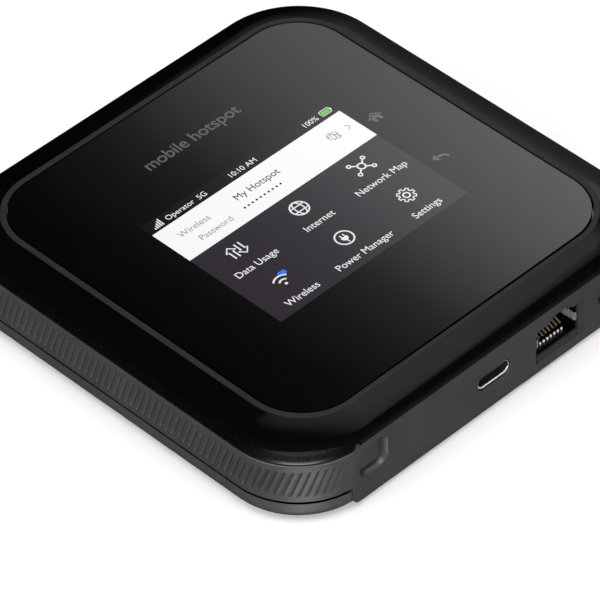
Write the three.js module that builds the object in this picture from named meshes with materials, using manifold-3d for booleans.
// A pocket 5G mobile hotspot: rounded square case, touch glass on top, ports on the front side.
// Frame: millimetres, +Z up, -Y the port side, origin on the ground under the middle.

import * as THREE from 'three';
import { mergeVertices } from 'three/addons/utils/BufferGeometryUtils.js';
import Module from 'manifold-3d';

const wasm = await Module();
wasm.setup();

// ---------------------------------------------------------------- driving dimensions

const GAP = 0.3; // clearance between neighbouring pieces
const CORNER_STEPS = 6; // facets in each rounded corner

// Plan: every outline is a square with rounded corners, given by its half width and by how far
// its corner centres are from the middle.
const LID_CENTRE = 33;
const BODY_CENTRE = 35.2;
const LID_HALF = 52.5;
const LID_EDGE = { radius: 1.1, z: 19.1, foot: 51.3, footZ: 17.75, halfArc: 60 };
const LIP = { inner: 0.45, outer: 1.5, step: 1.65, stepZ: 21.2, ledge: 1.6 };
const BODY_HALF = 52.1;
const GLASS_HALF = 45;
const LEFT_INSET = 1.3;
const TRAY_HALF = 51.9;
const BAND_THICKNESS = 1.35;
const BAND_INNER = BODY_HALF - BAND_THICKNESS;
const WALL_OUTER = BAND_INNER - 0.35;
const WALL_INNER = WALL_OUTER - 1.2;
const SKIRT_OUTER = WALL_INNER - GAP;
const SKIRT_INNER = SKIRT_OUTER - 1;
const BOARD_HALF = 46;

// Heights.
const GLASS_TOP = 21.4;
const GLASS_THICKNESS = 0.8;
const LEDGE_TOP = GLASS_TOP - GLASS_THICKNESS - GAP;
const LEDGE_BOTTOM = 19.2;
const SKIRT_BOTTOM = 15.6;
const RIM_TOP = 17.3;
const RIM_BOTTOM = 15.5;
const BAND_TOP = RIM_BOTTOM - GAP;
const BAND_BOTTOM = 5.6;
const PANEL_TOP = 16.1;
const PANEL_BOTTOM = 1.3;
const TRAY_TOP = BAND_BOTTOM - GAP;
const TRAY_BOTTOM = 0.4;
const TRAY_FLOOR = 1.6;
const WALL_BOTTOM = 3.5;
const SHELF = { bottom: 9.8, top: 10.6 };
const BOARD = { bottom: 11.1, top: 11.9 };

// Display stack, centred a little off the middle of the glass.
const SCREEN = { x: 0.9, y: -0.8, width: 60.5, height: 46 };
const LCD = { bottom: 18.9, top: 20.3 };
const BACKLIGHT = { bottom: 17.1, top: 18.6 };
const FRAME = { bottom: 15.9, top: 16.8, half: 47.5 };
const SEAT = { room: 0.4, width: 2 };
const FLEX = { x0: 18, x1: 30, high: 17.8, low: 12.25, bend: 31.2, end: 26.5, thickness: 0.25 };
const FLEX_SLOT = { x0: 17.5, x1: 30.5, y0: 29.5, y1: 32.5 };
const CAN = { top: 13.9, wall: 0.35 };
const CHIP_TOP = 13.1;

// Port panel and what it frames.
const PANEL = { left: -37.2, right: 41.3, topRadius: 2.6, bottomRadius: 1.6 };
const USB = { x: 2.1, z: 9.15, width: 8.94, height: 3.26, front: -51.8, back: -44 };
const JACK = { x: 20.9, floor: 4.6, top: 11.4, half: 5.9, front: -50.4, back: -35.2, depth: 12 };
const JACK_BODY = { half: 7.6, bottom: 3.9, top: 14.6 };
const JACK_LATCH = [
  { half: 3.2, top: 12.7 },
  { half: 1.95, top: 13.4 },
];
const CONTACTS = { count: 8, pitch: 1.02, width: 0.45, thickness: 0.35, low: 4.95, high: 7.45, rise: 6.2 };
const ANTENNAS = { left: -31.7, right: 35.8 };
const ANTENNA_Z = 10.65;
const WINDOW = { width: 6.6, height: 6.5, radius: 1.7, depth: 1 };
const WINDOW_FRAME = { half: 4.9, front: -51, back: -49.9, bottom: 6.2, top: 15.1 };
const SOCKET_ROOM = { half: 5.3, back: -41, bottom: 5.6, top: 15.7 };
const COVER_THICKNESS = 1;
const TRUNNION = { radius: 0.35, hole: 0.65, reach: 0.6 };

// Back side and inside.
const BUTTON = { x: 27, z: 10, width: 11, height: 3.4 };
const BATTERY = { x: -6, y: 4, width: 64, depth: 60, bottom: 2.4, top: 9.2 };
const BAY = { room: 0.4, wall: 1, bottom: 2.1 };
const TERMINAL = { x0: -12, x1: 0, front: -31, back: -28.2, bottom: 5, top: 10.8, reach: -26.4 };
const SIM = { x: 38.5, y: 1, width: 8.8, length: 12.3, bottom: 8.2, top: 8.9 };
const SCREW = { at: 41, shank: 0.85, hole: 1.2, head: 1.9, boss: 2.2, post: 2.7, seat: 4.7, tip: 15.2 };
const SCREW_HEAD_HEIGHT = 1.2;
const FOOT = { at: 37, radius: 5, top: 0.9 };

// ---------------------------------------------------------------- materials

function material(color, roughness, metalness = 0) {
  return new THREE.MeshStandardMaterial({ color, roughness, metalness });
}

const MATERIALS = {
  pianoBlack: material(0x0b0b0d, 0.12),
  glass: material(0x060607, 0.03),
  mattBlack: material(0x2b2b2d, 0.55),
  panelBlack: material(0x2e2e30, 0.45),
  darkPlastic: material(0x1a1a1b, 0.7),
  screen: material(0x2c2630, 0.2),
  backlight: material(0xd8dadd, 0.4),
  foam: material(0x141414, 0.95),
  frame: material(0x8b8d90, 0.5, 0.9),
  board: material(0x0d3b24, 0.5),
  steel: material(0xb9bbbe, 0.3, 1),
  chip: material(0x101012, 0.4),
  pad: material(0x7c8aa0, 0.9),
  copper: material(0xb87a4b, 0.4, 1),
  gold: material(0xd4ac54, 0.3, 1),
  ptfe: material(0xe8e6df, 0.5),
  battery: material(0x3a3c40, 0.6),
  rubber: material(0x151515, 0.9),
  card: material(0xe9e9ea, 0.4),
};

// ---------------------------------------------------------------- solids from three.js shapes

const model = new THREE.Group();

// Turns a closed three.js geometry into a solid that can be joined and cut.
function solid(geometry) {
  const bare = geometry.clone();
  bare.deleteAttribute('normal');
  bare.deleteAttribute('uv');
  const merged = mergeVertices(bare, 1e-4);
  const corners = Array.from(merged.index.array);
  const triangles = [];
  for (let i = 0; i < corners.length; i += 3) {
    const [a, b, c] = corners.slice(i, i + 3);
    const flat = a === b || b === c || c === a;
    if (!flat) triangles.push(a, b, c);
  }
  return new wasm.Manifold(new wasm.Mesh({
    numProp: 3,
    vertProperties: merged.attributes.position.array,
    triVerts: Uint32Array.from(triangles),
  }));
}

// Adds a solid to the model as a named mesh.
function add(name, shape, look) {
  const mesh = shape.getMesh();
  const geometry = new THREE.BufferGeometry();
  geometry.setAttribute('position', new THREE.BufferAttribute(mesh.vertProperties, 3));
  geometry.setIndex(new THREE.BufferAttribute(mesh.triVerts, 1));
  geometry.computeVertexNormals();
  const part = new THREE.Mesh(geometry, look);
  part.name = name;
  model.add(part);
}

function union(first, ...others) {
  return others.reduce((whole, next) => whole.add(next), first);
}

function cut(first, ...tools) {
  return tools.reduce((rest, tool) => rest.subtract(tool), first);
}

function box(x0, x1, y0, y1, z0, z1) {
  const geometry = new THREE.BoxGeometry(x1 - x0, y1 - y0, z1 - z0);
  geometry.translate((x0 + x1) / 2, (y0 + y1) / 2, (z0 + z1) / 2);
  return solid(geometry);
}

// Upright round rod.
function rod(x, y, z0, z1, radius, sides = 16) {
  const geometry = new THREE.CylinderGeometry(radius, radius, z1 - z0, sides);
  geometry.rotateX(Math.PI / 2);
  geometry.translate(x, y, (z0 + z1) / 2);
  return solid(geometry);
}

// Rectangle with round corners, drawn in a shape's own plane.
function roundedRectangle(x0, x1, y0, y1, lower, upper = lower) {
  const shape = new THREE.Shape();
  const quarter = Math.PI / 2;
  shape.absarc(x1 - lower, y0 + lower, lower, -quarter, 0);
  shape.absarc(x1 - upper, y1 - upper, upper, 0, quarter);
  shape.absarc(x0 + upper, y1 - upper, upper, quarter, 2 * quarter);
  shape.absarc(x0 + lower, y0 + lower, lower, 2 * quarter, 3 * quarter);
  shape.closePath();
  return shape;
}

// Plan shape raised from z0 to z1.
function plate(shape, z0, z1, curveSegments = 5) {
  const options = { depth: z1 - z0, bevelEnabled: false, curveSegments };
  const geometry = new THREE.ExtrudeGeometry(shape, options);
  geometry.translate(0, 0, z0);
  return solid(geometry);
}

// Shape drawn in X and Z, run along Y from y0 (nearer the port side) to y1.
function alongY(shape, y0, y1, curveSegments = 5) {
  const options = { depth: y1 - y0, bevelEnabled: false, curveSegments };
  const geometry = new THREE.ExtrudeGeometry(shape, options);
  geometry.rotateX(Math.PI / 2);
  geometry.translate(0, y1, 0);
  return solid(geometry);
}

// Shape drawn in Y and Z, run along X from x0 to x1.
function alongX(shape, x0, x1) {
  const options = { depth: x1 - x0, bevelEnabled: false };
  const geometry = new THREE.ExtrudeGeometry(shape, options);
  geometry.rotateZ(Math.PI / 2);
  geometry.rotateY(Math.PI / 2);
  geometry.translate(x0, 0, 0);
  return solid(geometry);
}

// Square outline with round corners at height z, as points in order. Its left side may lie further in.
function squareRing([half, z, centre, leftInset = 0]) {
  const radius = half - centre;
  const points = [];
  for (let corner = 0; corner < 4; corner += 1) {
    const middle = (corner + 0.5) * (Math.PI / 2);
    const inset = Math.cos(middle) < 0 ? leftInset : 0;
    const cx = Math.sign(Math.cos(middle)) * centre + inset;
    const cy = Math.sign(Math.sin(middle)) * centre;
    for (let step = 0; step <= CORNER_STEPS; step += 1) {
      const angle = (corner + step / CORNER_STEPS) * (Math.PI / 2);
      points.push(new THREE.Vector3(cx + radius * Math.cos(angle), cy + radius * Math.sin(angle), z));
    }
  }
  return points;
}

// Skin through rings of points. A closed section joins its last ring to its first and leaves the
// middle open; otherwise the first ring is the bottom and the last is the top.
function skin(rings, closedSection) {
  const count = rings[0].length;
  const positions = rings.flat().flatMap((point) => point.toArray());
  const index = [];
  const spans = closedSection ? rings.length : rings.length - 1;
  for (let ring = 0; ring < spans; ring += 1) {
    const above = (ring + 1) % rings.length;
    for (let i = 0; i < count; i += 1) {
      const j = (i + 1) % count;
      index.push(ring * count + i, ring * count + j, above * count + j);
      index.push(ring * count + i, above * count + j, above * count + i);
    }
  }
  if (!closedSection) {
    const top = (rings.length - 1) * count;
    for (let i = 1; i < count - 1; i += 1) {
      index.push(0, i + 1, i);
      index.push(top, top + i, top + i + 1);
    }
  }
  const geometry = new THREE.BufferGeometry();
  geometry.setAttribute('position', new THREE.Float32BufferAttribute(positions, 3));
  geometry.setIndex(index);
  return solid(geometry);
}

// Section points [half width, height] carried round the case; listed up the outside first.
function caseRing(section, centre) {
  return skin(section.map(([half, z, own = centre, inset]) => squareRing([half, z, own, inset])), true);
}

// Plain plate with the case's outline.
function casePlate(half, z0, z1, centre) {
  return skin([squareRing([half, z0, centre]), squareRing([half, z1, centre])], false);
}

// Points of a round stretch of a section.
function bend(h, z, radius, from, to, steps) {
  const points = [];
  for (let step = 0; step <= steps; step += 1) {
    const angle = THREE.MathUtils.degToRad(from + ((to - from) * step) / steps);
    points.push([h + radius * Math.cos(angle), z + radius * Math.sin(angle)]);
  }
  return points;
}

// Rectangular frame of wall between an inner and an outer outline.
function rectangularFrame(x0, x1, y0, y1, wall, z0, z1) {
  const outer = box(x0 - wall, x1 + wall, y0 - wall, y1 + wall, z0, z1);
  return outer.subtract(box(x0, x1, y0, y1, z0 - 1, z1 + 1));
}

// The four screw places.
const SCREW_PLACES = [
  [-SCREW.at, -SCREW.at],
  [SCREW.at, -SCREW.at],
  [SCREW.at, SCREW.at],
  [-SCREW.at, SCREW.at],
];

// Outline of the port panel in X and Z, grown all round for the pieces that make room for it.
function panelOutline(grow) {
  return roundedRectangle(
    PANEL.left - grow, PANEL.right + grow, PANEL_BOTTOM - grow, PANEL_TOP + grow,
    PANEL.bottomRadius + grow, PANEL.topRadius + grow,
  );
}

// Room for the panel in the band, the tray and the chassis rim: everything outside the chassis wall.
const panelRoom = alongY(panelOutline(GAP), -60, -40)
  .subtract(casePlate(WALL_OUTER, -1, 30, BODY_CENTRE));

// ---------------------------------------------------------------- lid and display

function makeTopCover() {
  const opening = [
    [GLASS_HALF + LIP.step, LIP.stepZ],
    [GLASS_HALF + LIP.outer, GLASS_TOP - 0.02],
    [GLASS_HALF + LIP.inner, GLASS_TOP],
    [GLASS_HALF + GAP, GLASS_TOP - 0.15],
    [GLASS_HALF + GAP, LEDGE_TOP],
    [GLASS_HALF - LIP.ledge, LEDGE_TOP],
    [GLASS_HALF - LIP.ledge, LEDGE_BOTTOM],
    [GLASS_HALF + LIP.ledge, LEDGE_BOTTOM],
  ];
  const section = [
    [SKIRT_INNER, SKIRT_BOTTOM],
    [SKIRT_OUTER, SKIRT_BOTTOM],
    [SKIRT_OUTER, RIM_TOP + GAP],
    [WALL_OUTER, RIM_TOP + GAP],
    [LID_EDGE.foot, LID_EDGE.footZ],
    ...bend(LID_HALF - LID_EDGE.radius, LID_EDGE.z, LID_EDGE.radius, -LID_EDGE.halfArc, LID_EDGE.halfArc, 4),
    ...opening.map(([half, z]) => [half, z, LID_CENTRE, LEFT_INSET]),
    [SKIRT_INNER, LEDGE_BOTTOM - 0.6],
  ];
  let lid = caseRing(section, LID_CENTRE);
  for (const [x, y] of SCREW_PLACES) {
    lid = lid.add(rod(x, y, BOARD.top + GAP, LEDGE_BOTTOM + 0.3, SCREW.boss));
    lid = lid.subtract(rod(x, y, BOARD.top, SCREW.tip + 0.4, SCREW.hole, 12));
  }
  return lid;
}

function makeTouchGlass() {
  return skin([
    squareRing([GLASS_HALF, GLASS_TOP - GLASS_THICKNESS, LID_CENTRE, LEFT_INSET]),
    squareRing([GLASS_HALF, GLASS_TOP - 0.2, LID_CENTRE, LEFT_INSET]),
    squareRing([GLASS_HALF - 0.2, GLASS_TOP, LID_CENTRE, LEFT_INSET]),
  ], false);
}

// Block with the display module's footprint.
function displayBlock(grow, z0, z1) {
  const halfX = SCREEN.width / 2 + grow;
  const halfY = SCREEN.height / 2 + grow;
  return box(SCREEN.x - halfX, SCREEN.x + halfX, SCREEN.y - halfY, SCREEN.y + halfY, z0, z1);
}

function makeDisplayFrame() {
  const base = casePlate(FRAME.half, FRAME.bottom, FRAME.top, LID_CENTRE);
  const seat = displayBlock(SEAT.room + SEAT.width, FRAME.top - 0.1, BACKLIGHT.top);
  const low = FRAME.bottom - 1;
  const high = FRAME.top + 1;
  const flexSlot = box(FLEX_SLOT.x0, FLEX_SLOT.x1, FLEX_SLOT.y0, FLEX_SLOT.y1, low, high);
  const bossHoles = SCREW_PLACES.map(([x, y]) => rod(x, y, low, high, SCREW.boss + 0.4));
  const seatWall = seat.subtract(displayBlock(SEAT.room, FRAME.top, LCD.top));
  return cut(base.add(seatWall), flexSlot, ...bossHoles);
}

function makeDisplayGasket() {
  const outer = displayBlock(SEAT.room + SEAT.width, LCD.bottom, LCD.top);
  return outer.subtract(displayBlock(SEAT.room, LCD.bottom - 1, LCD.top + 1));
}

// Flat flexible cable from the display's edge, down through the frame, to the board.
function makeDisplayFlex() {
  const { high, low, bend: turn, end, thickness } = FLEX;
  const chamfer = 0.9;
  const edge = SCREEN.y + SCREEN.height / 2 + SEAT.room + SEAT.width + GAP;
  const shape = new THREE.Shape();
  shape.moveTo(edge, high);
  shape.lineTo(turn - chamfer, high);
  shape.lineTo(turn, high - chamfer);
  shape.lineTo(turn, low + chamfer);
  shape.lineTo(turn - chamfer, low);
  shape.lineTo(end, low);
  shape.lineTo(end, low + thickness);
  shape.lineTo(turn - chamfer, low + thickness);
  shape.lineTo(turn - thickness, low + chamfer);
  shape.lineTo(turn - thickness, high - chamfer);
  shape.lineTo(turn - chamfer, high - thickness);
  shape.lineTo(edge, high - thickness);
  shape.closePath();
  return alongX(shape, FLEX.x0, FLEX.x1);
}

// ---------------------------------------------------------------- band, panel and tray

// Oval prism of the power button, grown all round for the holes it sits in.
function buttonOval(grow, y0, y1) {
  const { x, z, width, height } = BUTTON;
  return alongY(roundedRectangle(
    x - width / 2 - grow, x + width / 2 + grow, z - height / 2 - grow, z + height / 2 + grow,
    height / 2 + grow - 0.01,
  ), y0, y1);
}

function makeSideBand() {
  const section = [
    [BAND_INNER, BAND_BOTTOM],
    [BODY_HALF - 0.15, BAND_BOTTOM],
    [BODY_HALF, BAND_BOTTOM + 0.3],
    [BODY_HALF, BAND_TOP - 0.2],
    [BODY_HALF - 0.2, BAND_TOP],
    [BAND_INNER, BAND_TOP],
  ];
  return cut(caseRing(section, BODY_CENTRE), panelRoom, buttonOval(GAP, 48, 55));
}

// Window for one antenna socket, cut through the panel.
function antennaWindow(x, grow, y0, y1) {
  return alongY(roundedRectangle(
    x - WINDOW.width / 2 - grow, x + WINDOW.width / 2 + grow,
    ANTENNA_Z - WINDOW.height / 2 - grow, ANTENNA_Z + WINDOW.height / 2 + grow,
    WINDOW.radius + grow,
  ), y0, y1);
}

// Hinge line of an antenna cover, on the side nearer the case's corner.
function hingeOf(x) {
  const side = Math.sign(x);
  return {
    side,
    x: x + side * (WINDOW.width / 2 - GAP - COVER_THICKNESS / 2),
    y: -BODY_HALF + WINDOW.depth + COVER_THICKNESS / 2,
  };
}

// Outline of the jack's mouth in X and Z: a rectangle with the two latch steps above it.
function jackMouth(grow) {
  const shape = new THREE.Shape();
  const points = [
    [-JACK.half - grow, JACK.floor - grow],
    [JACK.half + grow, JACK.floor - grow],
    [JACK.half + grow, JACK.top + grow],
  ];
  for (const { half, top } of JACK_LATCH) {
    const below = points[points.length - 1][1];
    points.push([half + grow, below], [half + grow, top + grow]);
  }
  for (const { half, top } of [...JACK_LATCH].reverse()) {
    const below = half === JACK_LATCH[0].half ? JACK.top : JACK_LATCH[0].top;
    points.push([-half - grow, top + grow], [-half - grow, below + grow]);
  }
  points.push([-JACK.half - grow, JACK.top + grow]);
  shape.setFromPoints(points.map(([x, z]) => new THREE.Vector2(JACK.x + x, z)));
  return shape;
}

// Flared entry round the jack's mouth, narrow behind the panel's face and wide in front of it.
function jackFunnel() {
  const section = (grow, y) => [
    [-JACK.half - grow, JACK.floor - grow],
    [JACK.half + grow, JACK.floor - grow],
    [JACK.half + grow, JACK.top + grow],
    [-JACK.half - grow, JACK.top + grow],
  ].map(([x, z]) => new THREE.Vector3(JACK.x + x, y, z));
  return skin([section(0.1, -BODY_HALF + 1.1), section(1.1, -BODY_HALF - 0.2)], false);
}

function makePortPanel() {
  const section = [
    [BAND_INNER, PANEL_BOTTOM],
    [BODY_HALF, PANEL_BOTTOM],
    [BODY_HALF, PANEL_TOP],
    [BAND_INNER, PANEL_TOP],
  ];
  let panel = caseRing(section, BODY_CENTRE).intersect(alongY(panelOutline(0), -60, -40));
  for (const x of Object.values(ANTENNAS)) {
    panel = panel.add(box(
      x - WINDOW_FRAME.half, x + WINDOW_FRAME.half, WINDOW_FRAME.front, WINDOW_FRAME.back,
      WINDOW_FRAME.bottom, WINDOW_FRAME.top,
    ));
    panel = panel.subtract(antennaWindow(x, 0, -60, -40));
    const hinge = hingeOf(x);
    const reach = WINDOW.height / 2 + TRUNNION.reach + GAP;
    panel = panel.subtract(
      rod(hinge.x, hinge.y, ANTENNA_Z - reach, ANTENNA_Z + reach, TRUNNION.hole, 12),
    );
  }
  const slot = roundedRectangle(
    USB.x - USB.width / 2 - 0.32, USB.x + USB.width / 2 + 0.32,
    USB.z - USB.height / 2 - 0.32, USB.z + USB.height / 2 + 0.32,
    USB.height / 2 + 0.3,
  );
  return cut(panel, alongY(slot, -60, -40), jackFunnel(), alongY(jackMouth(0.2), -60, -40));
}

// Small hinged cover with a round hinge edge and two trunnions.
function makeAntennaCover(x) {
  const { side, x: hingeX, y: hingeY } = hingeOf(x);
  const halfHeight = WINDOW.height / 2 - GAP;
  const low = ANTENNA_Z - halfHeight;
  const high = ANTENNA_Z + halfHeight;
  const free = x - side * (WINDOW.width / 2 - GAP);
  const halfThickness = COVER_THICKNESS / 2;
  const leaf = alongY(
    roundedRectangle(Math.min(free, hingeX), Math.max(free, hingeX), low, high, 1.4),
    hingeY - halfThickness, hingeY + halfThickness,
  );
  const square = box(
    Math.min(hingeX, hingeX - side * 2.4), Math.max(hingeX, hingeX - side * 2.4),
    hingeY - halfThickness, hingeY + halfThickness, low + 0.9, high - 0.9,
  );
  const knuckle = rod(hingeX, hingeY, low + 0.9, high - 0.9, halfThickness, 16);
  const reach = WINDOW.height / 2 + TRUNNION.reach;
  const pin = rod(hingeX, hingeY, ANTENNA_Z - reach, ANTENNA_Z + reach, TRUNNION.radius, 12);
  return union(leaf, square, knuckle, pin);
}

function makeBatteryCover() {
  const radius = 3;
  const wall = 1.2;
  const section = [
    [TRAY_HALF - radius - 0.9, TRAY_BOTTOM],
    ...bend(TRAY_HALF - radius, TRAY_BOTTOM + radius, radius, -90, 0, 5),
    [TRAY_HALF, TRAY_TOP],
    [TRAY_HALF - wall, TRAY_TOP],
    ...bend(TRAY_HALF - radius, TRAY_BOTTOM + radius, radius - wall, 0, -90, 4),
    [TRAY_HALF - radius - 0.9, TRAY_FLOOR],
  ];
  const floor = casePlate(TRAY_HALF - radius - 0.5, TRAY_BOTTOM, TRAY_FLOOR, BODY_CENTRE);
  let tray = caseRing(section, BODY_CENTRE).add(floor).subtract(panelRoom);
  const clip = { inner: WALL_INNER - 1.2, outer: WALL_INNER - 0.4, length: 6, top: 6.6 };
  const clipFoot = TRAY_BOTTOM + 0.6;
  for (const start of [-20, 14]) {
    const end = start + clip.length;
    tray = union(
      tray,
      box(start, end, clip.inner, clip.outer, clipFoot, clip.top),
      box(-clip.outer, -clip.inner, start, end, clipFoot, clip.top),
      box(clip.inner, clip.outer, start, end, clipFoot, clip.top),
    );
  }
  for (const x of [-1, 1]) {
    for (const y of [-1, 1]) {
      const pocket = rod(x * FOOT.at, y * FOOT.at, 0, FOOT.top + GAP, FOOT.radius + GAP, 20);
      tray = tray.subtract(pocket);
    }
  }
  return tray;
}

// ---------------------------------------------------------------- chassis and what it carries

// Room for one antenna socket behind the panel.
function socketRoom(x) {
  const { half, back, bottom, top } = SOCKET_ROOM;
  return box(x - half, x + half, WINDOW_FRAME.front, back, bottom, top);
}

function makeInnerChassis() {
  const section = [
    [WALL_INNER, WALL_BOTTOM, LID_CENTRE],
    [WALL_OUTER, WALL_BOTTOM, BODY_CENTRE],
    [WALL_OUTER, RIM_BOTTOM, BODY_CENTRE],
    [51.8, RIM_BOTTOM, BODY_CENTRE],
    [51.75, RIM_BOTTOM + 0.25, BODY_CENTRE],
    [51.1, RIM_BOTTOM + 0.9, BODY_CENTRE - 1],
    [50.5, RIM_TOP, LID_CENTRE],
    [WALL_INNER, RIM_TOP, LID_CENTRE],
  ];
  const halfX = BATTERY.width / 2 + BAY.room;
  const halfY = BATTERY.depth / 2 + BAY.room;
  let chassis = union(
    caseRing(section, LID_CENTRE).subtract(panelRoom),
    casePlate(WALL_INNER + 0.4, SHELF.bottom, SHELF.top, LID_CENTRE),
    rectangularFrame(
      BATTERY.x - halfX, BATTERY.x + halfX, BATTERY.y - halfY, BATTERY.y + halfY,
      BAY.wall, BAY.bottom, SHELF.bottom + 0.1,
    ),
  );
  for (const [x, y] of SCREW_PLACES) {
    const post = rod(x, y, SCREW.seat + SCREW_HEAD_HEIGHT + GAP, BOARD.bottom - GAP, SCREW.post);
    chassis = chassis.add(post).subtract(rod(x, y, SCREW.seat, BOARD.top, SCREW.hole, 12));
  }
  return cut(
    chassis,
    // Round the two antenna sockets.
    socketRoom(ANTENNAS.left),
    socketRoom(ANTENNAS.right),
    // Round the USB receptacle.
    box(USB.x - 5.1, USB.x + 5.1, -51, USB.back + 0.6, USB.z - 2.15, USB.z + 2.25),
    // Round the Ethernet jack.
    box(JACK.x - 8.9, JACK.x + 8.9, -51, JACK.back + 1.2, JACK_BODY.bottom - 0.7, JACK_BODY.top + 1),
    // For the battery's terminals.
    box(
      TERMINAL.x0 - 0.4, TERMINAL.x1 + 0.4, TERMINAL.front - 0.4, TERMINAL.reach + 0.4,
      TERMINAL.bottom - 0.4, TERMINAL.top + 1.2,
    ),
    // For the power button and its switch.
    buttonOval(GAP, 48, 51),
    box(BUTTON.x - 7, BUTTON.x + 7, 41.2, WALL_INNER, 9, 11),
  );
}

// Sheet-metal can over the board, open at the bottom.
function makeCan(x0, x1, y0, y1) {
  const { wall, top } = CAN;
  const low = BOARD.top + GAP;
  const inside = box(x0 + wall, x1 - wall, y0 + wall, y1 - wall, low - 1, top - wall);
  return box(x0, x1, y0, y1, low, top).subtract(inside);
}

function makeMainBoard() {
  const board = casePlate(BOARD_HALF, BOARD.bottom, BOARD.top, LID_CENTRE);
  const holes = SCREW_PLACES.map(([x, y]) => rod(x, y, 10, 13, SCREW.hole, 12));
  return cut(
    board,
    box(JACK.x - 8.7, JACK.x + 8.7, -50, -34.2, 10, 13),
    socketRoom(ANTENNAS.left),
    socketRoom(ANTENNAS.right),
    ...holes,
  );
}

function makeUsbShell() {
  const oval = (grow) => roundedRectangle(
    USB.x - USB.width / 2 + grow, USB.x + USB.width / 2 - grow,
    USB.z - USB.height / 2 + grow, USB.z + USB.height / 2 - grow,
    USB.height / 2 - grow - 0.01,
  );
  return alongY(oval(0), USB.front, USB.back).subtract(alongY(oval(GAP), -60, -40));
}

function makeUsbTongue() {
  const blade = box(USB.x - 3.3, USB.x + 3.3, -50.9, -45, USB.z - 0.35, USB.z + 0.35);
  const root = box(USB.x - 3, USB.x + 3, -46, USB.back, USB.z - 0.9, USB.z + 0.9);
  return blade.add(root);
}

function makeJackHousing() {
  const block = box(
    JACK.x - JACK_BODY.half, JACK.x + JACK_BODY.half, JACK.front, JACK.back,
    JACK_BODY.bottom, JACK_BODY.top,
  );
  return block.subtract(alongY(jackMouth(0), -60, JACK.front + JACK.depth));
}

// Sheet-metal cover over the jack's sides, top and back.
function makeJackShield() {
  const wall = 0.3;
  const inner = JACK_BODY.half + GAP;
  const high = JACK_BODY.top + GAP;
  const outside = box(
    JACK.x - inner - wall, JACK.x + inner + wall, JACK.front, JACK.back + GAP + wall,
    JACK_BODY.bottom, high + wall,
  );
  return outside.subtract(box(JACK.x - inner, JACK.x + inner, -60, JACK.back + GAP, 0, high));
}

// Spring contact: rises from the floor near the mouth towards the back of the jack.
function makeJackContact(number) {
  const { pitch, width, thickness, count, low, high, rise } = CONTACTS;
  const middle = JACK.x + (number - (count - 1) / 2) * pitch;
  const shape = new THREE.Shape();
  const tip = JACK.front + 3.2;
  const back = JACK.front + JACK.depth - GAP;
  shape.moveTo(tip, low);
  shape.lineTo(tip + rise, high);
  shape.lineTo(back, high);
  shape.lineTo(back, high + thickness);
  shape.lineTo(tip + rise - 0.1, high + thickness);
  shape.lineTo(tip, low + thickness);
  shape.closePath();
  return alongX(shape, middle - width / 2, middle + width / 2);
}

// Turned socket round an axis along Y, with a square foot behind it.
function makeAntennaSocket(x) {
  const front = -49.5;
  const profile = [
    [1.9, front],
    [2.6, front],
    [2.6, -44.6],
    [0.6, -44.6],
    [0.6, -45],
    [1.9, -45],
    [1.9, front],
  ].map(([radius, y]) => new THREE.Vector2(radius, y));
  const turned = new THREE.LatheGeometry(profile, 16);
  turned.translate(x, 0, ANTENNA_Z);
  return solid(turned).add(box(x - 3.2, x + 3.2, -44.7, -42.6, ANTENNA_Z - 3.2, ANTENNA_Z + 3.2));
}

function makeAntennaInsulator(x) {
  const profile = [
    [0.45, -48.8],
    [1.5, -48.8],
    [1.5, -45.4],
    [0.45, -45.4],
    [0.45, -48.8],
  ].map(([radius, y]) => new THREE.Vector2(radius, y));
  const turned = new THREE.LatheGeometry(profile, 12);
  turned.translate(x, 0, ANTENNA_Z);
  return solid(turned);
}

// Flexible antenna standing just inside the wall, kept to one corner of the case.
function makeAntennaStrip(x0, x1, y0, y1) {
  const section = [
    [47.5, 11.3],
    [48, 11.3],
    [48, 14.5],
    [47.5, 14.5],
  ];
  return caseRing(section, LID_CENTRE).intersect(box(x0, x1, y0, y1, 10, 16));
}

function makePowerButton() {
  const { x, z, width, height } = BUTTON;
  const flange = 0.9;
  return union(
    buttonOval(0, SKIRT_OUTER - 0.1, LID_HALF - 0.05),
    box(
      x - width / 2 - flange, x + width / 2 + flange, 48, SKIRT_OUTER,
      z - height / 2 - flange, z + height / 2 + flange,
    ),
    box(x - 1, x + 1, 46.6, 48.1, z - 0.8, z + 0.8),
  );
}

function makeBatteryConnector() {
  const { x0, x1, front, back, bottom, top, reach } = TERMINAL;
  const pitch = (x1 - x0) / 4;
  const blades = [0, 1, 2, 3].map((number) => {
    const middle = x0 + (number + 0.5) * pitch;
    return box(middle - 0.6, middle + 0.6, back - 0.1, reach, bottom + 1, bottom + 3.6);
  });
  return union(box(x0, x1, front, back, bottom, top), ...blades);
}

function makeSimSocket() {
  const { x, y, width, length } = SIM;
  const outside = box(
    x - width / 2 - 1.2, x + width / 2 + 1.2, y - length / 2 + 2, y + length / 2 + 1.2, 7.3, 9.5,
  );
  return outside.subtract(box(
    x - width / 2 - GAP, x + width / 2 + GAP, y - length / 2 - 1, y + length / 2 + GAP,
    SIM.bottom - GAP, SIM.top + GAP,
  ));
}

// Nano card with one clipped corner.
function makeSimCard() {
  const { x, y, width, length } = SIM;
  const shape = new THREE.Shape();
  shape.moveTo(x - width / 2, y - length / 2);
  shape.lineTo(x + width / 2, y - length / 2);
  shape.lineTo(x + width / 2, y + length / 2 - 1.6);
  shape.lineTo(x + width / 2 - 1.6, y + length / 2);
  shape.lineTo(x - width / 2, y + length / 2);
  shape.closePath();
  return plate(shape, SIM.bottom, SIM.top);
}

// ---------------------------------------------------------------- assembly

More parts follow.
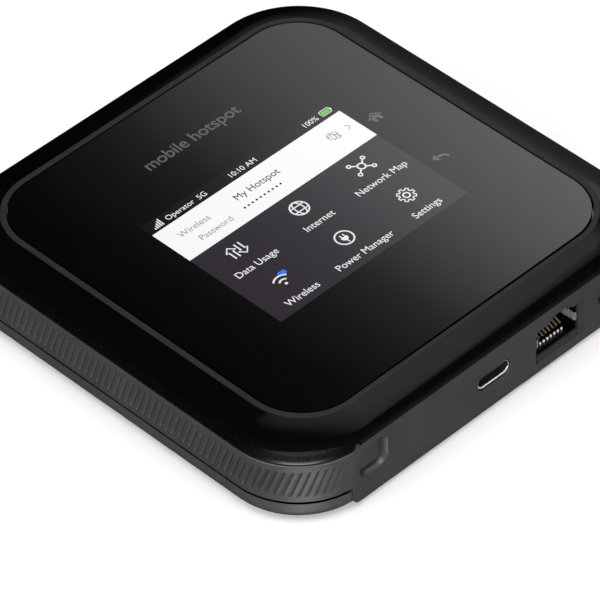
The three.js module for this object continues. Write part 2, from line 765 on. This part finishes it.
add('top_cover', makeTopCover(), MATERIALS.pianoBlack);
add('touch_glass', makeTouchGlass(), MATERIALS.glass);
add('lcd_panel', displayBlock(0, LCD.bottom, LCD.top), MATERIALS.screen);
add('backlight_unit', displayBlock(0, BACKLIGHT.bottom, BACKLIGHT.top), MATERIALS.backlight);
add('display_gasket', makeDisplayGasket(), MATERIALS.foam);
add('display_frame', makeDisplayFrame(), MATERIALS.frame);
add('display_flex', makeDisplayFlex(), MATERIALS.copper);
add('side_band', makeSideBand(), MATERIALS.mattBlack);
add('port_panel', makePortPanel(), MATERIALS.panelBlack);
add('battery_cover', makeBatteryCover(), MATERIALS.mattBlack);
add('inner_chassis', makeInnerChassis(), MATERIALS.darkPlastic);

add('main_board', makeMainBoard(), MATERIALS.board);
add('modem_can', makeCan(-30, 2, -22, 12), MATERIALS.steel);
add('wifi_can', makeCan(8, 34, -14, 14), MATERIALS.steel);
add('power_can', makeCan(-24, 14, 18, 36), MATERIALS.steel);
add('modem_chip', box(-21, -7, -12, 2, BOARD.top + GAP, CHIP_TOP), MATERIALS.chip);
add('wifi_chip', box(16.5, 25.5, -4.5, 4.5, BOARD.top + GAP, CHIP_TOP), MATERIALS.chip);
add('thermal_pad', box(-24, -4, -15, 5, 14.2, 14.6), MATERIALS.pad);
add('heat_spreader', plate(roundedRectangle(-36, 36, -30, 28, 4), 14.9, 15.5), MATERIALS.copper);

add('usb_shell', makeUsbShell(), MATERIALS.steel);
add('usb_tongue', makeUsbTongue(), MATERIALS.darkPlastic);
add('rj45_housing', makeJackHousing(), MATERIALS.darkPlastic);
add('rj45_shield', makeJackShield(), MATERIALS.steel);
for (let number = 0; number < CONTACTS.count; number += 1) {
  add(`rj45_contact_${number + 1}`, makeJackContact(number), MATERIALS.gold);
}
for (const [side, x] of Object.entries(ANTENNAS)) {
  add(`antenna_socket_${side}`, makeAntennaSocket(x), MATERIALS.gold);
  add(`antenna_insulator_${side}`, makeAntennaInsulator(x), MATERIALS.ptfe);
  add(`antenna_cover_${side}`, makeAntennaCover(x), MATERIALS.panelBlack);
}
add('antenna_strip_front_left', makeAntennaStrip(-50, -38.5, -50, -12), MATERIALS.copper);
add('antenna_strip_front_right', makeAntennaStrip(42.8, 50, -50, -12), MATERIALS.copper);
add('antenna_strip_back_left', makeAntennaStrip(-50, -20, 20, 50), MATERIALS.copper);
add('antenna_strip_back_right', makeAntennaStrip(36, 50, 20, 50), MATERIALS.copper);

add('power_button', makePowerButton(), MATERIALS.panelBlack);
const switchSize = { half: 2.6, front: 42, back: 45.9, bottom: 8.4, top: 10.8 };
add('power_switch', box(
  BUTTON.x - switchSize.half, BUTTON.x + switchSize.half, switchSize.front, switchSize.back,
  switchSize.bottom, switchSize.top,
), MATERIALS.steel);

add('battery', plate(roundedRectangle(
  BATTERY.x - BATTERY.width / 2, BATTERY.x + BATTERY.width / 2,
  BATTERY.y - BATTERY.depth / 2, BATTERY.y + BATTERY.depth / 2, 2,
), BATTERY.bottom, BATTERY.top), MATERIALS.battery);
add('battery_connector', makeBatteryConnector(), MATERIALS.gold);
add('sim_socket', makeSimSocket(), MATERIALS.steel);
add('sim_card', makeSimCard(), MATERIALS.card);

SCREW_PLACES.forEach(([x, y], number) => {
  const underHead = SCREW.seat + SCREW_HEAD_HEIGHT;
  const head = rod(x, y, SCREW.seat, underHead, SCREW.head, 12);
  const shank = rod(x, y, underHead - 0.1, SCREW.tip, SCREW.shank, 8);
  add(`case_screw_${number + 1}`, head.add(shank), MATERIALS.steel);
  const foot = rod(Math.sign(x) * FOOT.at, Math.sign(y) * FOOT.at, 0, FOOT.top, FOOT.radius, 20);
  add(`foot_${number + 1}`, foot, MATERIALS.rubber);
});

export default model;
